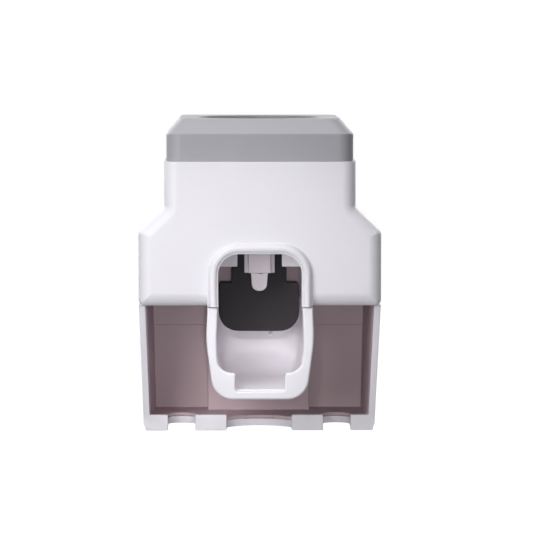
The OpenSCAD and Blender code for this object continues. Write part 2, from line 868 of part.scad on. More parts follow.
module pump_cylinder() {
    color(clear)
        difference() {
            union() {
                bar(2 * (bore_r + bore_side), cylinder_back_d, cylinder_front_d, cylinder_foot, gasket_z);
                bar(block_w, nozzle_d - 4, nozzle_d + 4, nozzle_z, cylinder_foot + over);
                bar(block_front_w, nozzle_d - 3, nozzle_d + 2.5, nozzle_z, cylinder_foot + over);
                bar(2 * lug_x + lug_w, valve_d - lug_w / 2, valve_d + lug_w / 2, gasket_z - lug_h, gasket_z);
            }
            rod(0, bore_z, bore_r, cylinder_back_d - over, chamber_end_d);
            post(0, nozzle_d, bore_out + 0.2, nozzle_z + 3, bore_z);
            post(0, nozzle_d, plug_r, nozzle_z - over, nozzle_z + plug_h);
            post(0, valve_d, gasket_r - fit, bore_z + 2, gasket_z + over);
            both_sides()
                post(lug_x, valve_d, screw_r + snug, gasket_z - lug_h - over, gasket_z + over);
        }
}

module cylinder_screws() {
    color(steel)
        both_sides() {
            post(lug_x, valve_d, head_r, gasket_z - lug_h - head_h, gasket_z - lug_h);
            post(lug_x, valve_d, screw_r - running, gasket_z - lug_h, deck_z - 0.8);
        }
}

module plunger() {
    color(white)
        difference() {
            union() {
                rod(0, bore_z, bore_r - piston_gap, piston_d, piston_front_d);
                rod(0, bore_z, rod_r, rod_end_d, piston_d + over);
            }
            difference() {
                rod(0, bore_z, bore_r + over, groove_d, groove_d + groove_w);
                rod(0, bore_z, bore_r - groove_h, piston_d, piston_front_d);
            }
        }
}

module plunger_seal() {
    color(black)
        translate([0, -(piston_d + piston_l / 2), bore_z])
            rotate([90, 0, 0])
                rotate_extrude()
                    translate([bore_r - ring_r - ring_in, 0])
                        circle(r = ring_r, $fn = 24);
}

// The return spring: one wire wound from the chamber's end to the piston
spring_gap = 0.1;
spring_r = bore_r - 1.2;
spring_from = piston_front_d + wire_d / 2 + spring_gap;
spring_to = chamber_end_d - wire_d / 2 - spring_gap;
spring_l = spring_to - spring_from;
spring_steps = ceil(spring_turns * 12);
spring_sides = 8;
function spring_ring(k) =
    let (
        a = 360 * spring_turns * k / spring_steps,
        out = [cos(a), 0, sin(a)],
        along = unit([-sin(a), -spring_l / (2 * PI * spring_turns * spring_r), cos(a)]),
        side = cross(along, out),
        centre = spring_r * out - [0, spring_from + spring_l * k / spring_steps, 0]
    )
        [for (s = [0:spring_sides - 1])
            let (b = 360 * s / spring_sides)
                centre + wire_d / 2 * (cos(b) * out + sin(b) * side)];
echo(least_gap_between_turns = spring_l / spring_turns - wire_d);

module return_spring() {
    n = spring_sides;
    rings = spring_steps + 1;
    color(steel)
        translate([0, 0, bore_z])
            polyhedron(
                points = [for (k = [0:spring_steps]) each spring_ring(k)],
                faces = [
                    [for (s = [0:n - 1]) s],
                    for (k = [0:rings - 2], s = [0:n - 1])
                        [k * n + s, (k + 1) * n + s, (k + 1) * n + (s + 1) % n, k * n + (s + 1) % n],
                    [for (s = [n - 1:-1:0]) (rings - 1) * n + s]
                ]
            );
}

module nozzle_tip() {
    end_t = tongue_t / 2;
    root_t = tongue_root_t / 2;
    slit_top = tip_z + tongue_l / 2 + over;
    color(clear)
        difference() {
            union() {
                post(0, nozzle_d, plug_r, nozzle_z, nozzle_z + plug_h);
                // a flattened tongue, round at its end and thin from the side
                intersection() {
                    slab(nozzle_d - plug_r, nozzle_d + plug_r)
                        polygon(rounded([
                            [-tongue_r, tip_z, tongue_r - 0.1], [tongue_r, tip_z, tongue_r - 0.1],
                            [tongue_w / 2, nozzle_z, 0], [-tongue_w / 2, nozzle_z, 0]
                        ]));
                    translate([-tongue_w / 2, -nozzle_d, 0])
                        rotate([90, 0, 90])
                            linear_extrude(tongue_w)
                                polygon([
                                    [-end_t, tip_z], [end_t, tip_z], [root_t, nozzle_z], [-root_t, nozzle_z]
                                ]);
                }
            }
            post(0, nozzle_d, bore_out, tip_z + tongue_l / 2, nozzle_z + plug_h + over);
            bar(slit_w, nozzle_d - slit_t / 2, nozzle_d + slit_t / 2, tip_z - over, slit_top);
        }
}

module push_lever() {
    neck_top = bore_z + nose_r - 0.5;
    color(black)
        difference() {
            union() {
                slab(lever_back_d, lever_d)
                    polygon(rounded([
                        [-paddle_w / 2, paddle_z, paddle_r], [paddle_w / 2, paddle_z, paddle_r],
                        [paddle_w / 2, shoulder_of_lever, shoulder_in], [stem_w / 2, shoulder_of_lever, 0.4],
                        [stem_w / 2, pivot_z + 1, 0], [-stem_w / 2, pivot_z + 1, 0],
                        [-stem_w / 2, shoulder_of_lever, 0.4],
                        [-paddle_w / 2, shoulder_of_lever, shoulder_in]
                    ]));
                bar(stem_w - 3, pivot_d + 0.7 - lever_t, pivot_d + 0.7, pivot_z, neck_top);
                axle(-ear_x + fit / 2, ear_x - fit / 2, pivot_d, pivot_z, barrel_r);
                axle(-nose_w / 2, nose_w / 2, pivot_d + nose_in, bore_z, nose_r);
            }
            axle(-ear_x, ear_x, pivot_d, pivot_z, pin_r + running);
        }
}

module lever_pin() {
    out = ear_x + ear_t;
    color(steel) {
        axle(-out - pin_end, out, pivot_d, pivot_z, pin_r);
        axle(out, out + pin_head_w, pivot_d, pivot_z, pin_r + 0.9);
    }
}

module pin_clip() {
    out = ear_x + ear_t;
    color(steel)
        difference() {
            axle(-out - snug - clip_t, -out - snug, pivot_d, pivot_z, pin_r + 1.1);
            axle(-out - snug - clip_t - over, -out + over, pivot_d, pivot_z, pin_r);
            block(-out - snug - clip_t - over, -out, pivot_d - 0.9, pivot_d + 0.9, pivot_z - 4, pivot_z);
        }
}

placed() adhesive_pad();
placed() wall_plate();
placed() rear_shell();
placed() bay_liner();
placed() brush_cup();
placed() cup_screws();
placed() front_cover();
placed() top_collar();
placed() pump_chassis();
placed() chassis_screws();
placed() tube_seal();
placed() seal_cap();
placed() inlet_valve();
placed() cylinder_gasket();
placed() pump_cylinder();
placed() cylinder_screws();
placed() plunger();
placed() plunger_seal();
placed() return_spring();
placed() nozzle_tip();
placed() push_lever();
placed() lever_pin();
placed() pin_clip();
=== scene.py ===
import math

import bmesh
import bpy
from mathutils import Matrix, Vector


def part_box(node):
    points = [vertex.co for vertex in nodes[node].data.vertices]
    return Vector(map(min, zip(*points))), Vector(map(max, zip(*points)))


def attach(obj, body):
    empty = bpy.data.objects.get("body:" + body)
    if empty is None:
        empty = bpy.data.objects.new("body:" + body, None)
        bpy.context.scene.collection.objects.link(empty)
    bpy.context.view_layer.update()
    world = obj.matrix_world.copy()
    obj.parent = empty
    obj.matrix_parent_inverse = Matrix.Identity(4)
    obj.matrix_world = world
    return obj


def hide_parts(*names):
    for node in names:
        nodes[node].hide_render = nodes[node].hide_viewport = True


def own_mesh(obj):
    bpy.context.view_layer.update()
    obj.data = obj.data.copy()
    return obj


# A wall-mounted toothpaste dispenser with two brush bays. The frame is in metres, with X to the right,
# Y to the wall and Z up. Pieces are drawn in millimetres: a depth is counted from the wall to the front
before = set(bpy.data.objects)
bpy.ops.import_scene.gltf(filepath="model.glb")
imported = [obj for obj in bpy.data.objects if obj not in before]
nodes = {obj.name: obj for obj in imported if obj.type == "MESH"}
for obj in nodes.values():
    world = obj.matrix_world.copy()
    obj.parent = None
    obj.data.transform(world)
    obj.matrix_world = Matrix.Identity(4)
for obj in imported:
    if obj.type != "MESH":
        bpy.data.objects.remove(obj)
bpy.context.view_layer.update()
MM = 0.001


# Camera: a metre in front of the cover, a little above the collar
EYE = Vector((-12, -1062, 70.3)) * MM
AIM = Vector((2.1, -62, -4.6)) * MM
FRAME_W = 174.9 * MM  # width of the picture at the cover's front
SENSOR_W = 36


def add_camera():
    camera = bpy.data.objects.new("camera", bpy.data.cameras.new("camera"))
    bpy.context.collection.objects.link(camera)
    line = AIM - EYE
    camera.location = EYE
    camera.rotation_euler = line.to_track_quat("-Z", "Y").to_euler()
    camera.data.sensor_width = SENSOR_W
    camera.data.lens = SENSOR_W * line.length / FRAME_W
    camera.data.clip_start = 0.05
    bpy.context.scene.camera = camera


add_camera()


# Materials
DRIFT_MM = 14  # size of a patch of even tone in moulded plastic
PLATING_MM = 0.3  # grain of the zinc, drawn coarser than it is so that it shows


def linear(colour):
    """The linear colour of an sRGB hex value."""
    parts = [int(colour[i:i + 2], 16) / 255 for i in (1, 3, 5)]
    return [*(c / 12.92 if c < 0.04045 else ((c + 0.055) / 1.055) ** 2.4 for c in parts), 1]


def node(tree, kind, links=None, **settings):
    """Adds a node. Settings are its properties or input values, links its inputs from other sockets."""
    made = tree.nodes.new(kind)
    for key, value in settings.items():
        if hasattr(made, key):
            setattr(made, key, value)
        else:
            made.inputs[key.replace("_", " ")].default_value = value
    for key, socket in (links or {}).items():
        tree.links.new(socket, made.inputs[key])
    return made


def new_material(name):
    material = bpy.data.materials.new(name)
    material.use_nodes = True
    tree = material.node_tree
    return material, tree, tree.nodes["Principled BSDF"]


def grained(tree, shader, place, grain_mm, low, high):
    """Lets the roughness vary between two values with a fine grain, which it returns."""
    grain = node(tree, "ShaderNodeTexNoise", {"Vector": place}, Scale=1 / (grain_mm * MM), Detail=2.0)
    gloss = node(tree, "ShaderNodeMapRange", {"Value": grain.outputs["Fac"]}, To_Min=low, To_Max=high)
    tree.links.new(gloss.outputs["Result"], shader.inputs["Roughness"])
    return grain


def moulded(name, colour, shade, roughness, spread=0.05, grain_mm=0.6, depth_mm=0.01, ior=1.5):
    """Injection-moulded plastic: a faint drift of tone from the melt's flow, a fine grain from the mould's
    surface, and gloss that varies a little with it."""
    material, tree, shader = new_material(name)
    place = node(tree, "ShaderNodeTexCoord").outputs["Object"]
    drift = node(tree, "ShaderNodeTexNoise", {"Vector": place}, Scale=1 / (DRIFT_MM * MM), Detail=3.0,
                 Roughness=0.5)
    tone = node(tree, "ShaderNodeMix", {"Factor": drift.outputs["Fac"]}, data_type="RGBA",
                A=linear(colour), B=linear(shade))
    tree.links.new(tone.outputs["Result"], shader.inputs["Base Color"])
    grain = grained(tree, shader, place, grain_mm, roughness - spread, roughness + spread)
    bump = node(tree, "ShaderNodeBump", {"Height": grain.outputs["Fac"]}, Strength=0.3,
                Distance=depth_mm * MM)
    tree.links.new(bump.outputs["Normal"], shader.inputs["Normal"])
    shader.inputs["IOR"].default_value = ior
    return material


def plated():
    """Zinc-plated steel wire, pins and screws: a cool dull metal with slightly uneven gloss."""
    material, tree, shader = new_material("zinc_plated_steel")
    shader.inputs["Base Color"].default_value = linear("#b9bbbe")
    shader.inputs["Metallic"].default_value = 1
    grained(tree, shader, node(tree, "ShaderNodeTexCoord").outputs["Object"], PLATING_MM, 0.28, 0.42)
    return material


# White ABS from a smooth mould: clean, a little cool, with broad soft highlights. The rear shell is the same
# white painted a shade lighter than the cover, and the cup's bowl a shade lighter again: painted light for
# the shaded bay walls and the deep shaded bowl
cover_white = moulded("glossy_white_abs", "#e4e2e8", "#dfdde3", 0.48)
shell_painted_lighter = moulded("shell_abs_painted_lighter", "#edeaf0", "#e9e6ec", 0.46)
bowl_painted_lighter = moulded("bowl_abs_painted_lighter", "#f5f0f6", "#f1ecf2", 0.46)
# Coloured ABS from an etched mould: an even satin without a mirror image, dullest on the lever
collar_grey = moulded("satin_grey_abs", "#a2a1a7", "#9d9ca2", 0.52, grain_mm=0.35, depth_mm=0.015)
bay_taupe = moulded("satin_taupe_abs", "#c4afb5", "#bda8ae", 0.55, spread=0.06, grain_mm=0.4,
                    depth_mm=0.015)
lever_black = moulded("satin_black_abs", "#29232a", "#252026", 0.68, spread=0.06, grain_mm=0.3,
                      depth_mm=0.02, ior=1.45)
# Undyed polypropylene: milky and waxy
milky = moulded("milky_polypropylene", "#c9c0c6", "#c3bac0", 0.35, grain_mm=0.5)
# Moulded silicone: pale and cloudy, with a smooth skin
silicone = moulded("translucent_silicone", "#d9d3d7", "#d3cdd1", 0.4, grain_mm=0.5)
# Moulded nitrile rubber: a dull black
rubber = moulded("black_nitrile_rubber", "#1d1c1e", "#19181a", 0.6, grain_mm=0.4, depth_mm=0.02)
# Cast acrylic gel: almost colourless, with the gloss of something wet
gel = moulded("clear_acrylic_gel", "#dfe1e1", "#d8dada", 0.2, spread=0.04)
steel = plated()

finish_of = {
    "adhesive_pad": gel, "wall_plate": cover_white, "rear_shell": shell_painted_lighter, "bay_liner": bay_taupe,
    "brush_cup": cover_white, "cup_screws": steel, "front_cover": cover_white, "top_collar": collar_grey,
    "pump_chassis": cover_white, "chassis_screws": steel, "tube_seal": silicone, "seal_cap": cover_white,
    "inlet_valve": silicone, "cylinder_gasket": silicone, "pump_cylinder": milky, "cylinder_screws": steel,
    "plunger": cover_white, "plunger_seal": rubber, "return_spring": steel, "nozzle_tip": silicone,
    "push_lever": lever_black, "lever_pin": steel, "pin_clip": steel,
}
for name, material in finish_of.items():
    for slot in nodes[name].material_slots:
        slot.material = material


# Sizes in millimetres, from the frame
class Box:
    """A node's box in millimetres: its right side, back and front as depths, low and high."""

    def __init__(self, name):
        low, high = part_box(name)
        self.right = high[0] / MM
        self.back, self.front = -high[1] / MM, -low[1] / MM
        self.low, self.high = low[2] / MM, high[2] / MM


cover = Box("front_cover")
collar = Box("top_collar")
cup = Box("brush_cup")
lever = Box("push_lever")
pin = Box("lever_pin")
spring = Box("return_spring")
liner = Box("bay_liner")

WALL = 2.2
BEAD_H = 2.5  # the bead's height over the cover's face
FACE = cover.front - BEAD_H  # depth of the cover's face
SEAM = 36  # depth of the seam between the rear shell and the cover
NECK = 31.5  # half the width of the neck
BAND_H = 24.6  # height of the cover's wide band
SHOULDER_H = 7.9  # height of the slopes above it
EDGE_R = 4.5  # radius of the cover's front edges
ARCH = 13.7  # half the arch's clear width
ARCH_H = 17.3
ARCH_R = 6.8
TUNNEL = 4.2  # how far the arch's inner wall runs behind the cover's face
BEAD_IN = 3.1  # how far from the arch the cover's face starts, under the bead
NEAR = 0.01  # points this close count as one height or depth


# Modelling
def plate(bm, corners, depth, segments=8):
    """A flat face that looks to the front, from (x, z, corner radius) points."""
    others = set(bm.faces)
    verts = [bm.verts.new((x, -depth, z)) for x, z, radius in corners]
    bm.faces.new(verts)
    for vert, (x, z, radius) in zip(verts, corners):
        if radius:
            one, two = [edge.other_vert(vert).co - vert.co for edge in vert.link_edges]
            offset = radius / math.tan(one.angle(two) / 2)
            bmesh.ops.bevel(bm, geom=[vert], offset=offset, offset_type="OFFSET", segments=segments,
                            profile=0.5, affect="VERTICES", material=-1)
    return [face for face in bm.faces if face not in others][0]


def loft(bm, rings, segments=8, first=False, last=False):
    """A skin over (corners, depth) outlines, with a face on the first or the last where that is asked."""
    loops = []
    for number, (corners, depth) in enumerate(rings):
        face = plate(bm, corners, depth, segments)
        loops.append(face.edges[:])
        if not (number == 0 and first or number == len(rings) - 1 and last):
            bmesh.ops.delete(bm, geom=[face], context="FACES_ONLY")
    for one, two in zip(loops, loops[1:]):
        bmesh.ops.bridge_loops(bm, edges=one + two)


def mirrored(points):
    """Closes an outline that was given for the right half only."""
    return points + [(-x, z, radius) for x, z, radius in reversed(points)]


def made_of(made, kind):
    """The vertices or the faces among what an operator made."""
    return [item for item in made if isinstance(item, kind)]


def moved_on(bm, made, vec):
    """Moves what an extrusion made."""
    bmesh.ops.translate(bm, vec=vec, verts=made_of(made["geom"], bmesh.types.BMVert))


def slab(bm, corners, depth, back):
    """A plate with thickness, from depth to back."""
    face = plate(bm, corners, depth)
    moved_on(bm, bmesh.ops.extrude_face_region(bm, geom=[face], use_keep_orig=True), (0, depth - back, 0))


def rounded(bm, edges, radius, segments=2):
    bmesh.ops.bevel(bm, geom=list(edges), offset=radius, offset_type="OFFSET", segments=segments,
                    profile=0.5, affect="EDGES", material=-1)


def round_edges(bm, radius, chosen, segments=3):
    """Rounds the sharp edges that pass a test of their two ends."""
    sharp = [edge for edge in bm.edges if edge.is_manifold and edge.calc_face_angle() > math.radians(30)]
    rounded(bm, [edge for edge in sharp if chosen(*(vert.co for vert in edge.verts))], radius, segments)


def everywhere(a, b):
    """A test that every edge passes."""
    return True


def at_depth(depth):
    """A test for edges that lie flat at a depth."""
    return lambda a, b: abs(a.y + depth) < NEAR and abs(b.y + depth) < NEAR


def at_height(bm, height):
    """The faces that lie flat at a height."""
    return [face for face in bm.faces if all(abs(vert.co.z - height) < NEAR for vert in face.verts)]


def rod(bm, radius, start, end):
    """A round bar from start to end, with softened ends."""
    line = end - start
    place = Matrix.Translation((start + end) / 2) @ line.to_track_quat("Z", "Y").to_matrix().to_4x4()
    made = bmesh.ops.create_cone(bm, cap_ends=True, segments=48, radius1=radius, radius2=radius,
                                 depth=line.length, matrix=place)
    rounded(bm, {edge for vert in made["verts"] for edge in vert.link_edges
                 if edge.calc_face_angle(0) > math.radians(60)}, 0.2)


def brick(bm, low, high, edge=0.25):
    """A block between two corners, given as (x, depth, z), with softened edges."""
    size = Vector(high) - Vector(low)
    middle = (Vector(high) + Vector(low)) / 2
    place = Matrix.Translation((middle.x, -middle.y, middle.z)) @ Matrix.Diagonal((*size, 1))
    made = bmesh.ops.create_cube(bm, size=1, matrix=place)
    rounded(bm, {edge for vert in made["verts"] for edge in vert.link_edges}, edge)


def piece(name, bm, material, body, slot, *replaced, sharp=38, wall=0):
    """Makes a bmesh, drawn in millimetres, a finished piece. An open skin is given a wall."""
    bmesh.ops.remove_doubles(bm, verts=bm.verts, dist=0.0005)
    bmesh.ops.recalc_face_normals(bm, faces=bm.faces)
    bmesh.ops.scale(bm, vec=(MM, MM, MM), verts=bm.verts)
    mesh = bpy.data.meshes.new(name)
    bm.to_mesh(mesh)
    bm.free()
    mesh.shade_smooth()
    mesh.set_sharp_from_angle(angle=math.radians(sharp))
    mesh.materials.append(material)
    made = bpy.data.objects.new(name, mesh)
    bpy.context.collection.objects.link(made)
    if wall:
        skin = made.modifiers.new("wall", "SOLIDIFY")
        skin.thickness = wall * MM
        skin.offset = -1
        skin.use_even_offset = True
    made.modifiers.new("even_shading", "WEIGHTED_NORMAL").keep_sharp = True
    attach(made, body)
    if replaced:
        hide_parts(*replaced)
    return made


def quarter(steps=8):
    """Along a quarter turn: how far in and how far on, each from 0 to 1."""
    turns = [math.pi / 2 * step / steps for step in range(steps + 1)]
    return [(1 - math.cos(turn), math.sin(turn)) for turn in turns]


# Front cover
OVER = 8  # how far the skin runs over the cover's top before it is cut there
TAB_GAP = 0.15  # between the rear shell's wall and a tab
TAB_T = 1.4  # thickness of a tab, and how far it reaches behind the seam
TAB_L = 5  # how far it reaches in front of the seam
TAB_H = 8
TAB_LOW = 6  # from the cover's foot to the lower tabs
TAB_HIGH = 10  # from the band's top to the foot of the upper tabs


def cover_outline(by, notch=0):
    """The cover's outline, drawn in at its foot, sides and shoulders but not at its top. The notch is what
    the arch's bead covers."""
    lean = by * math.tan(math.atan2(cover.right - NECK, SHOULDER_H) / 2)
    foot = cover.low + by
    side = cover.low + BAND_H - lean
    half = [(cover.right - by, foot, max(2 - by, 0.2)), (cover.right - by, side, max(2.8 - by, 0.2)),
            (NECK - by, side + SHOULDER_H, 1.4 + by), (NECK - by, cover.high + OVER, 0)]
    if notch:
        top = cover.low + ARCH_H + notch
        arch = [(ARCH + notch, top, ARCH_R + notch), (ARCH + notch, foot, 0)]
        return [*arch, *half, *((-x, z, radius) for x, z, radius in reversed(arch + half))]
    return mirrored([(ARCH + BEAD_IN, foot, 0), *half])


def cover_shell():
    """A shell with soft front edges, open at its back and top, and at its foot round the cup's walls."""
    bm = bmesh.new()
    loft(bm, [(cover_outline(0), SEAM), (cover_outline(0), FACE - EDGE_R)])
    room = [face for face in at_height(bm, cover.low) if abs(face.calc_center_median().x) < ARCH]
    bmesh.ops.delete(bm, geom=room, context="FACES")
    loft(bm, [(cover_outline(EDGE_R * inward, BEAD_IN), FACE - EDGE_R + EDGE_R * onward)
              for inward, onward in quarter()], last=True)
    bmesh.ops.remove_doubles(bm, verts=bm.verts, dist=0.0005)
    bmesh.ops.bisect_plane(bm, geom=bm.verts[:] + bm.edges[:] + bm.faces[:], plane_co=(0, 0, cover.high),
                           plane_no=(0, 0, 1), clear_outer=True)
    piece("cover_shell", bm, cover_white, "cover", "white_plastic", "front_cover", wall=WALL)


def cover_bead():
    """The raised bead round the arch, with a fine groove on its inner side and the arch's inner wall. Its
    section gives how far each point stands out from the arch and on from the cover's face."""
    bm = bmesh.new()
    wall = [(0, -TUNNEL), (0, 1.15), (0.12, 1.42), (0.35, 1.55)]
    groove = [(0.5, 1.5), (0.62, 1.8), (0.8, 2.1), (1.1, 2.36)]
    crown = [(1.5, 2.48), (1.95, BEAD_H), (2.35, 2.38), (2.7, 2.05), (2.95, 1.5), (3.12, 0.8), (3.3, 0.25)]
    foot = [(3.6, 0), (3.6, -1.4), (2.4, -1.4), (2.4, -TUNNEL)]
    verts = [bm.verts.new((-ARCH - out, -FACE - onward, cover.low))
             for out, onward in wall + groove + crown + foot]
    face = bm.faces.new(verts)
    made = bmesh.ops.extrude_face_region(bm, geom=[face], use_keep_orig=True)
    moved_on(bm, made, (0, 0, ARCH_H - ARCH_R))
    for side in (-1, 1):
        turn = bmesh.ops.spin(bm, geom=made_of(made["geom"], bmesh.types.BMFace), axis=(0, 1, 0),
                              cent=(side * (ARCH - ARCH_R), 0, cover.low + ARCH_H - ARCH_R),
                              angle=math.pi / 2, steps=12)
        made = bmesh.ops.extrude_face_region(bm, geom=made_of(turn["geom_last"], bmesh.types.BMFace))
        moved_on(bm, made, (2 * (ARCH - ARCH_R), 0, 0) if side < 0 else (0, 0, ARCH_R - ARCH_H))
    piece("cover_bead", bm, cover_white, "cover", "white_plastic", "front_cover", sharp=32)


def cover_tabs():
    """The tabs that hold the cover in the rear shell, each joined to the cover's wall by a web."""
    bm = bmesh.new()
    for side in (-1, 1):
        face = side * (cover.right - WALL - TAB_GAP)
        tab = sorted((face, face - side * TAB_T))
        web = sorted((face + side * TAB_GAP, face - side * 0.4))
        for low in (cover.low + TAB_LOW, cover.low + BAND_H - TAB_HIGH):
            brick(bm, (tab[0], SEAM - TAB_T, low), (tab[1], SEAM + TAB_L, low + TAB_H))
            brick(bm, (web[0], SEAM + 0.5, low), (web[1], SEAM + TAB_L, low + TAB_H), edge=0.1)
    piece("cover_tabs", bm, cover_white, "cover", "white_plastic", "front_cover")


cover_shell()
cover_bead()
cover_tabs()


# Brush cup
CUP_TOP = cover.low - 0.3
CUP_FOOT = 15.2  # half the width at the cup's underside, before its corners are rounded
CUP_WAIST = 17.8  # half the width where the cup is widest
CUP_SHOULDER = 17.3  # half the width under the arch
WAIST_Z = -29
WAIST_R = 40  # radius with which the sides bulge there
CUP_RIM = 2.5
CUP_IN = 1.3  # the bowl's walls stand this far inside the rim
CUP_WALL = 1.8
LIP_H = 8.8  # height of the rim's low lip
NOTCH = 8.1  # half the width of the notch in it
NOTCH_H = 2.8
BOWL_R = 8
BOWL_BACK = 16.67
HOLLOW_L = 14  # the bowl's floor curves up to its back over this length
HOLLOW_H = 9
HOLLOW_START = 1  # how far the floor rises before that
POST_X = 7
POST_Z = -36.4
POST_R = 3
WING_IN = 14.2  # from the middle to the wings' inner sides
WING_OUT = 16
NUB = (4.3, -BOWL_BACK, -31.1)
NUB_R = 0.8


def cup_rim():
    """The cup's front rim, a U with a notch in its low lip."""
    bm = bmesh.new()
    lip = cup.low + LIP_H
    inner = [(NOTCH, cup.low + NOTCH_H, 0.9), (NOTCH, lip, 0.9), (13.9, lip, 4.8), (14.3, WAIST_Z, WAIST_R),
             (13.9, CUP_TOP, 0)]
    outer = [(CUP_SHOULDER, CUP_TOP, 0), (CUP_WAIST, WAIST_Z, WAIST_R), (CUP_FOOT, cup.low, 7)]
    slab(bm, mirrored(inner + outer), cup.front, cup.front - CUP_RIM)
    round_edges(bm, 0.75, at_depth(cup.front), segments=4)
    piece("cup_rim", bm, cover_white, "housing", "white_plastic", "brush_cup", sharp=32)


def bowl_ring(by, floor, low_r, widest):
    """The bowl's section, open at the top: its walls drawn in from the cup's outline, nowhere wider than the
    given half width, and its floor at a height of its own."""
    slope = (CUP_WAIST - CUP_FOOT) / (WAIST_Z - cup.low)
    low = CUP_FOOT + (floor - cup.low) * slope - by * math.hypot(1, slope)
    return mirrored([(min(low, widest), floor, low_r), (min(CUP_WAIST - by, widest), WAIST_Z, 14 - by),
                     (min(CUP_SHOULDER - by, widest), CUP_TOP, 0)])


def cup_bowl():
    """The deep bowl behind the rim, with wide corners at its back. Its floor curves up into its back."""
    bm = bmesh.new()
    front = cup.front - CUP_RIM + 0.3
    by, low = CUP_IN + CUP_WALL, cup.low + CUP_IN
    radius = BOWL_R + CUP_WALL
    inner = [(bowl_ring(by, low + CUP_WALL, 4, CUP_WAIST - by), front)]
    outer = [(bowl_ring(CUP_IN, low, 5.7, CUP_WAIST - CUP_IN), front)]
    for inward, onward in quarter(20):
        depth = BOWL_BACK + HOLLOW_L * (1 - onward)
        corner = max(0, (BOWL_BACK + BOWL_R - depth) / BOWL_R)
        widest = CUP_WAIST - by - BOWL_R * (1 - math.sqrt(max(0, 1 - corner ** 2)))
        floor = low + CUP_WALL + HOLLOW_START + HOLLOW_H * inward
        inner.append((bowl_ring(by, floor, 4, widest), depth))
        outer.append((bowl_ring(CUP_IN, low, 5.7, CUP_WAIST - CUP_IN - radius * inward),
                      BOWL_BACK - CUP_WALL + radius * (1 - onward)))
    for skin in (inner, outer):
        loft(bm, skin, last=True)
    bmesh.ops.delete(bm, geom=at_height(bm, CUP_TOP), context="FACES")
    bmesh.ops.bridge_loops(bm, edges=[edge for edge in bm.edges if edge.is_boundary])
    # The bowl is the rim's white painted lighter: painted light for its deep shaded inside
    piece("cup_bowl", bm, bowl_painted_lighter, "housing", "white_plastic", "brush_cup")


def cup_fittings():
    """The wings that reach up into the arch, the screw posts behind the bowl and the nub on its back."""
    bm = bmesh.new()
    for side in (-1, 1):
        wing = sorted((side * WING_IN, side * WING_OUT))
        brick(bm, (wing[0], BOWL_BACK + BOWL_R, CUP_TOP - 1.8), (wing[1], FACE - TUNNEL - 0.5, cup.high),
              edge=0.3)
        rod(bm, POST_R, Vector((side * POST_X, -cup.back, POST_Z)),
            Vector((side * POST_X, 0.8 - BOWL_BACK, POST_Z)))
    bmesh.ops.create_uvsphere(bm, u_segments=24, v_segments=12, radius=NUB_R, matrix=Matrix.Translation(NUB))
    piece("cup_fittings", bm, bowl_painted_lighter, "housing", "white_plastic", "brush_cup")


cup_rim()
cup_bowl()
cup_fittings()


# Top collar, drawn as seen from above, so that a height takes the place of a depth
COLLAR_R = 5
COLLAR_IN = 0.75  # the collar stands this far inside the neck
COLLAR_WALL = 9
CHAMFER_W = 4.35
CHAMFER_H = 5
WELL_R = 21
WELL_DEPTH = 35  # from the wall to the well's axis
WELL_T = 1.6
SKIRT_H = 4
SKIRT_T = 1.5
SKIRT_BACK = 6.2


def upright(bm):
    """Turns a piece that was drawn from above to its place."""
    bmesh.ops.rotate(bm, cent=(0, 0, 0), matrix=Matrix.Rotation(-math.pi / 2, 3, "X"), verts=bm.verts)


def circle(radius, height, depth=WELL_DEPTH):
    """A round outline, as four corners with its own radius."""
    return [(radius * right, -depth + radius * up, radius * 0.999)
            for right, up in ((-1, -1), (1, -1), (1, 1), (-1, 1))], height


def collar_outline(by, radius=COLLAR_R):
    right, back, front = NECK - COLLAR_IN - by, collar.back + by, FACE - COLLAR_IN - by
    return [(-right, -front, radius), (right, -front, radius), (right, -back, radius),
            (-right, -back, radius)]


def skirt_outline(by):
    """The skirt that stands inside the shells' walls."""
    right, back, front = NECK - WALL - 0.15 - by, SKIRT_BACK + by, FACE - WALL - 0.3 - by
    front_r, back_r = 2.6 - by, max(1 - by, 0.3)
    return [(-right, -front, front_r), (right, -front, front_r), (right, -back, back_r),
            (-right, -back, back_r)]


def top_collar():
    """A rounded block with a crisp chamfer, a flat rim, a round well and a skirt below."""
    bm = bmesh.new()
    top = collar.high
    shoulder = top - CHAMFER_H
    foot = shoulder - COLLAR_WALL + 0.03
    slope = CHAMFER_W / CHAMFER_H
    rim = [(collar_outline(2.2, 3), foot + 2.2), (collar_outline(2.2, 3), foot)]
    wall = [(collar_outline(0.25), foot), (collar_outline(0.07), foot + 0.07),
            (collar_outline(0), foot + 0.25), (collar_outline(0), shoulder - 0.25),
            (collar_outline(0.06), shoulder + 0.02)]
    chamfer = [(collar_outline(slope * 0.3), shoulder + 0.3),
               (collar_outline(slope * (CHAMFER_H - 0.35)), top - 0.35),
               (collar_outline(CHAMFER_W - 0.08), top - 0.1), (collar_outline(CHAMFER_W + 0.2), top)]
    loft(bm, rim + wall + chamfer, segments=12)
    outer = [edge for edge in bm.edges if edge.is_boundary and at_depth(top)(*(v.co for v in edge.verts))]
    old = set(bm.edges)
    loft(bm, [circle(WELL_R + 0.4, top), circle(WELL_R + 0.12, top - 0.12), circle(WELL_R, top - 0.4),
              circle(WELL_R, foot), circle(WELL_R + WELL_T, foot), circle(WELL_R + WELL_T, top - 2.2)],
         segments=16)
    inner = [edge for edge in bm.edges if edge not in old and edge.is_boundary
             and at_depth(top)(*(v.co for v in edge.verts))]
    bmesh.ops.bridge_loops(bm, edges=outer + inner)
    loft(bm, [(skirt_outline(0), foot + 1), (skirt_outline(0), foot - SKIRT_H),
              (skirt_outline(SKIRT_T), foot - SKIRT_H + 0.4), (skirt_outline(SKIRT_T), foot + 1)])
    upright(bm)
    piece("top_collar_body", bm, collar_grey, "collar", "grey_plastic", "top_collar", sharp=30)


top_collar()


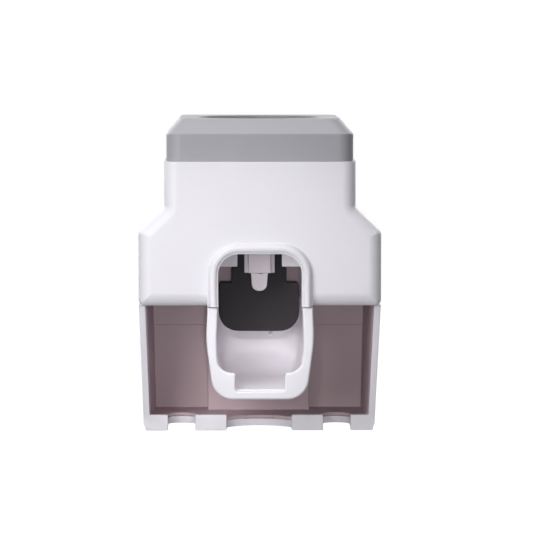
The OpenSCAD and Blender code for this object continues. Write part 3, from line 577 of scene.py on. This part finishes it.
# Push lever
LEVER_T = 2.5
LEVER_FACE = 30.5  # depth of the paddle's front
PADDLE_H = 16.6
STEM = 9.3  # half the stem's width
STEM_TOP = -1.7
ARM = 7.8  # half the width of the arm over the pin
ARM_BACK = 25.7
ARM_FRONT = 28.2
BARREL = 10  # half the barrel's length
BARREL_R = 2.6
NOSE = 2.2  # half the nose's width
NOSE_R = 2
PIN_DEPTH = (pin.back + pin.front) / 2
PIN_Z = (pin.low + pin.high) / 2


def push_lever():
    """A wide paddle on a stem, a barrel for the pin and a nose that pushes the plunger."""
    bm = bmesh.new()
    shoulder = lever.low + PADDLE_H
    half = [(lever.right, lever.low, 6.5), (lever.right, shoulder, 1.2), (STEM, shoulder, 0.5),
            (STEM, STEM_TOP, 0)]
    slab(bm, mirrored(half), LEVER_FACE, LEVER_FACE - LEVER_T)
    round_edges(bm, 0.35, everywhere)
    brick(bm, (-ARM, ARM_BACK, PIN_Z), (ARM, ARM_FRONT, lever.high - 0.5))
    rod(bm, BARREL_R, Vector((-BARREL, -PIN_DEPTH, PIN_Z)), Vector((BARREL, -PIN_DEPTH, PIN_Z)))
    y, z = -lever.front + NOSE_R, lever.high - NOSE_R
    rod(bm, NOSE_R, Vector((-NOSE, y, z)), Vector((NOSE, y, z)))
    piece("push_lever_body", bm, lever_black, "lever", "black_plastic", "push_lever", sharp=32)


push_lever()


# Small parts of the pump and the fasteners
SCREW_HEAD = [(2.1, 0), (2.1, 0.7), (2.0, 1.05), (1.75, 1.27), (1.4, 1.37)]  # radii and heights
CORE_R = 0.82
CREST_R = 1.04
PITCH = 0.7
WIRE_R = 0.3
COIL_R = 3.3
END_TURNS = 0.8  # closed turns at each end of the spring
OPEN_TURNS = 3.9
SLIT = 42.5  # depth of the slit in the nozzle's tongue
LINER_T = 1.2
LINER_BEND = -19.1  # height below which the liner's sides lean in
LINER_LEAN = 0.023


def softened(name, body, slot, width, chosen=everywhere, moved=None):
    """A copy of a node's own shape with softened edges, which stands for it. Some of its points may move
    before that."""
    bm = bmesh.new()
    bm.from_mesh(nodes[name].data)
    bmesh.ops.transform(bm, matrix=nodes[name].matrix_world, verts=bm.verts)
    bmesh.ops.scale(bm, vec=(1 / MM, 1 / MM, 1 / MM), verts=bm.verts)
    bmesh.ops.remove_doubles(bm, verts=bm.verts, dist=0.001)
    bmesh.ops.recalc_face_normals(bm, faces=bm.faces)
    for vert in bm.verts if moved else []:
        vert.co += moved(vert.co)
    round_edges(bm, width, chosen, segments=2)
    piece(name + "_soft", bm, finish_of[name], body, slot, name, sharp=32)


def behind_mouth(a, b):
    """The liner's edges that lie deep in the bays."""
    return min(a.y, b.y) > -30


def thin_edge(point):
    """The liner's side walls run thin to the front, so that no edge stands beside the white wall. Only the
    front ends of their inner sides move, which lie off the floor and the outer sides."""
    outer = liner.right + min(0, point.z - LINER_BEND) * LINER_LEAN
    inner = 33 < abs(point.x) < outer - LINER_T / 2 and point.y < -34 and point.z > liner.low + 1.7
    return Vector((math.copysign(LINER_T - 0.15, point.x), 0, 0)) if inner else Vector()


def off_slit(a, b):
    """The tongue's outer edges, which are round. Those of its slit stay sharp."""
    return min(abs(a.y + SLIT), abs(b.y + SLIT)) > 0.5


def cross(arm, half, height):
    """The outline of a cross recess, from one arm's three corners."""
    points = [(arm, half), (half, half), (half, arm)]
    return [(right * x - up * z, up * x + right * z, 0)
            for right, up in ((1, 0), (0, 1), (-1, 0), (0, -1)) for x, z in points], height


def screw(bm, x, depth, z, length, turn):
    """A pan-head screw with a cross recess and a thread, with the head's underside at the given place."""
    old = set(bm.verts)
    rings = [circle(out, on, 0) for out, on in ((0.5, -length), (CORE_R, 0.5 - length), (CORE_R, 0))]
    rings += [circle(out, on, 0) for out, on in SCREW_HEAD]
    loft(bm, [*rings, cross(1.1, 0.26, 1.4), cross(0.8, 0.18, 0.5)], segments=6, first=True, last=True)
    ridge = [(CORE_R - 0.1, 0.75), (CREST_R, 1), (CORE_R - 0.1, 1.25)]
    edge = [bm.verts.new((out, length - on, 0)) for out, on in ridge]
    turns = (length - 1.4) / PITCH
    steps = round(turns * 16)
    bmesh.ops.spin(bm, geom=[bm.faces.new(edge)], cent=(0, 0, 0), axis=(0, 1, 0), angle=turns * 2 * math.pi,
                   dvec=(0, -turns * PITCH / steps, 0), steps=steps)
    bmesh.ops.holes_fill(bm, edges=bm.edges)
    place = Matrix.Translation((x, -depth, z)) @ Matrix.Rotation(turn, 4, "X")
    bmesh.ops.transform(bm, matrix=place, verts=[vert for vert in bm.verts if vert not in old])


def screws(name, length, turn, *places):
    """Screws in pairs, left and right, all turned by one angle about the axis from left to right."""
    bm = bmesh.new()
    for x, depth, z in places:
        for side in (-1, 1):
            screw(bm, side * x, depth, z, length, turn)
    piece(name + "_cut", bm, steel, "housing", "steel", name, sharp=35)


def return_spring():
    """A wound wire with closed end turns, drawn at one length."""
    bm = bmesh.new()
    middle = (spring.low + spring.high) / 2
    bmesh.ops.create_circle(bm, cap_ends=True, segments=12, radius=WIRE_R,
                            matrix=Matrix.Translation((COIL_R, -spring.back - WIRE_R, middle)))
    end = bm.faces[:]
    length = spring.front - spring.back
    close = 2 * WIRE_R + 0.04
    wide = (length - 2 * WIRE_R - 2 * END_TURNS * close) / OPEN_TURNS
    for turns, pitch in ((END_TURNS, close), (OPEN_TURNS, wide), (END_TURNS, close)):
        steps = round(turns * 32)
        turn = bmesh.ops.spin(bm, geom=end, cent=(0, 0, middle), axis=(0, 1, 0), angle=turns * 2 * math.pi,
                              dvec=(0, -turns * pitch / steps, 0), steps=steps)
        end = made_of(turn["geom_last"], bmesh.types.BMFace)
    bmesh.ops.holes_fill(bm, edges=bm.edges)
    made = piece("return_spring_wire", bm, steel, "housing", "steel", "return_spring", sharp=60)
    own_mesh(made)


# The rear shell is the cover's white painted lighter: painted light for its shaded bay walls
softened("rear_shell", "housing", "white_plastic", 0.3)
softened("bay_liner", "housing", "taupe_plastic", 0.25, behind_mouth, moved=thin_edge)
softened("pump_chassis", "housing", "white_plastic", 0.25)
softened("pump_cylinder", "housing", "milky_plastic", 0.2)
softened("wall_plate", "wall_mount", "white_plastic", 0.3)
softened("adhesive_pad", "wall_mount", "clear_gel", 0.2)
softened("seal_cap", "housing", "white_plastic", 0.15)
softened("tube_seal", "housing", "silicone", 0.15)
softened("plunger", "plunger", "white_plastic", 0.08)
softened("nozzle_tip", "housing", "silicone", 0.4, off_slit)
screws("cup_screws", 7.1, math.pi, (POST_X, 3.7, POST_Z))
screws("chassis_screws", 5.95, 0, (22, 9.9, 4.3), (22, 9.9, 21.2))
screws("cylinder_screws", 5.15, math.pi / 2, (10.2, 41.5, 9))
return_spring()


# Floor, lamps and background. Places and sizes are in metres, and powers in watts
MIDDLE = (0, -0.03, 0)


def add_floor():
    """A pale matt floor that the camera sees lifted to white but for the object's shadow."""
    bm = bmesh.new()
    bmesh.ops.create_grid(bm, x_segments=1, y_segments=1, size=3)
    bmesh.ops.translate(bm, vec=(0, 0, -0.2), verts=bm.verts)
    mesh = bpy.data.meshes.new("floor")
    bm.to_mesh(mesh)
    bm.free()
    floor = bpy.data.objects.new("floor", mesh)
    bpy.context.collection.objects.link(floor)
    material, tree, shader = new_material("pale_floor")
    tree.nodes.remove(shader)
    matt = node(tree, "ShaderNodeBsdfDiffuse", Color=linear("#b4b4b6"))
    glow = node(tree, "ShaderNodeEmission", Color=(1, 1, 1, 1), Strength=1.0)
    sees = node(tree, "ShaderNodeLightPath")
    lit = node(tree, "ShaderNodeAddShader")
    tree.links.new(matt.outputs["BSDF"], lit.inputs[0])
    tree.links.new(glow.outputs["Emission"], lit.inputs[1])
    pick = node(tree, "ShaderNodeMixShader", {"Fac": sees.outputs["Is Camera Ray"]})
    tree.links.new(matt.outputs["BSDF"], pick.inputs[1])
    tree.links.new(lit.outputs["Shader"], pick.inputs[2])
    tree.links.new(pick.outputs["Shader"], tree.nodes["Material Output"].inputs["Surface"])
    mesh.materials.append(material)


def add_light(name, kind, place, aim, power):
    lamp = bpy.data.objects.new(name, bpy.data.lights.new(name, kind))
    bpy.context.collection.objects.link(lamp)
    lamp.location = Vector(place)
    lamp.rotation_euler = (Vector(aim) - lamp.location).to_track_quat("-Z", "Y").to_euler()
    lamp.data.energy = power
    return lamp.data


def add_lamp(name, place, size, power):
    """A soft box that faces the object's middle."""
    light = add_light(name, "AREA", place, MIDDLE, power)
    light.shape = "RECTANGLE"
    light.size, light.size_y = size


def add_beam(name, place, aim, angle, power):
    """A narrow soft beam that reaches into the cup or the bays."""
    light = add_light(name, "SPOT", place, aim, power)
    light.spot_size = math.radians(angle)
    light.spot_blend = 0.6
    light.shadow_soft_size = 0.015


def light_world(level):
    """An even pale surround that the camera, gloss and clear plastic see as white."""
    world = bpy.data.worlds.new("studio")
    world.use_nodes = True
    tree = world.node_tree
    surround = tree.nodes["Background"]
    surround.inputs["Color"].default_value = linear("#f4f5f8")
    surround.inputs["Strength"].default_value = level
    sees = node(tree, "ShaderNodeLightPath")
    white = node(tree, "ShaderNodeBackground", Color=(1, 1, 1, 1), Strength=1.0)
    any_of = sees.outputs["Is Camera Ray"]
    for ray in ("Is Transmission Ray", "Is Glossy Ray"):
        either = node(tree, "ShaderNodeMath", operation="MAXIMUM")
        tree.links.new(any_of, either.inputs[0])
        tree.links.new(sees.outputs[ray], either.inputs[1])
        any_of = either.outputs["Value"]
    pick = node(tree, "ShaderNodeMixShader", {"Fac": any_of})
    tree.links.new(surround.outputs["Background"], pick.inputs[1])
    tree.links.new(white.outputs["Background"], pick.inputs[2])
    tree.links.new(pick.outputs["Shader"], tree.nodes["World Output"].inputs["Surface"])
    bpy.context.scene.world = world


add_floor()
add_lamp("key", (-0.3, -0.42, 0.36), (0.25, 0.25), 0.32)
add_lamp("side", (-0.12, -0.25, 0.06), (0.1, 0.2), 0.31)
add_lamp("front", (-0.2, -0.58, 0.06), (0.2, 0.2), 0.24)
add_lamp("top", (0, -0.12, 0.8), (0.6, 0.6), 3.9)
add_lamp("back left", (-0.3, 0.4, 0.2), (0.3, 0.3), 1.2)
add_lamp("back right", (0.3, 0.4, 0.2), (0.3, 0.3), 1.2)
add_beam("cup", (-0.06, -0.875, 0.223), (-0.002, -0.0635, -0.0265), 2.0, 11)
add_beam("cup floor", (-0.05, -0.715, 0.478), (0, -0.045, -0.0455), 1.6, 15)
add_beam("bays", (0.0, -0.9, 0.04), (-0.002, -0.03, -0.028), 9.5, 5.2)
light_world(0.12)
bpy.context.scene.view_settings.view_transform = "Standard"
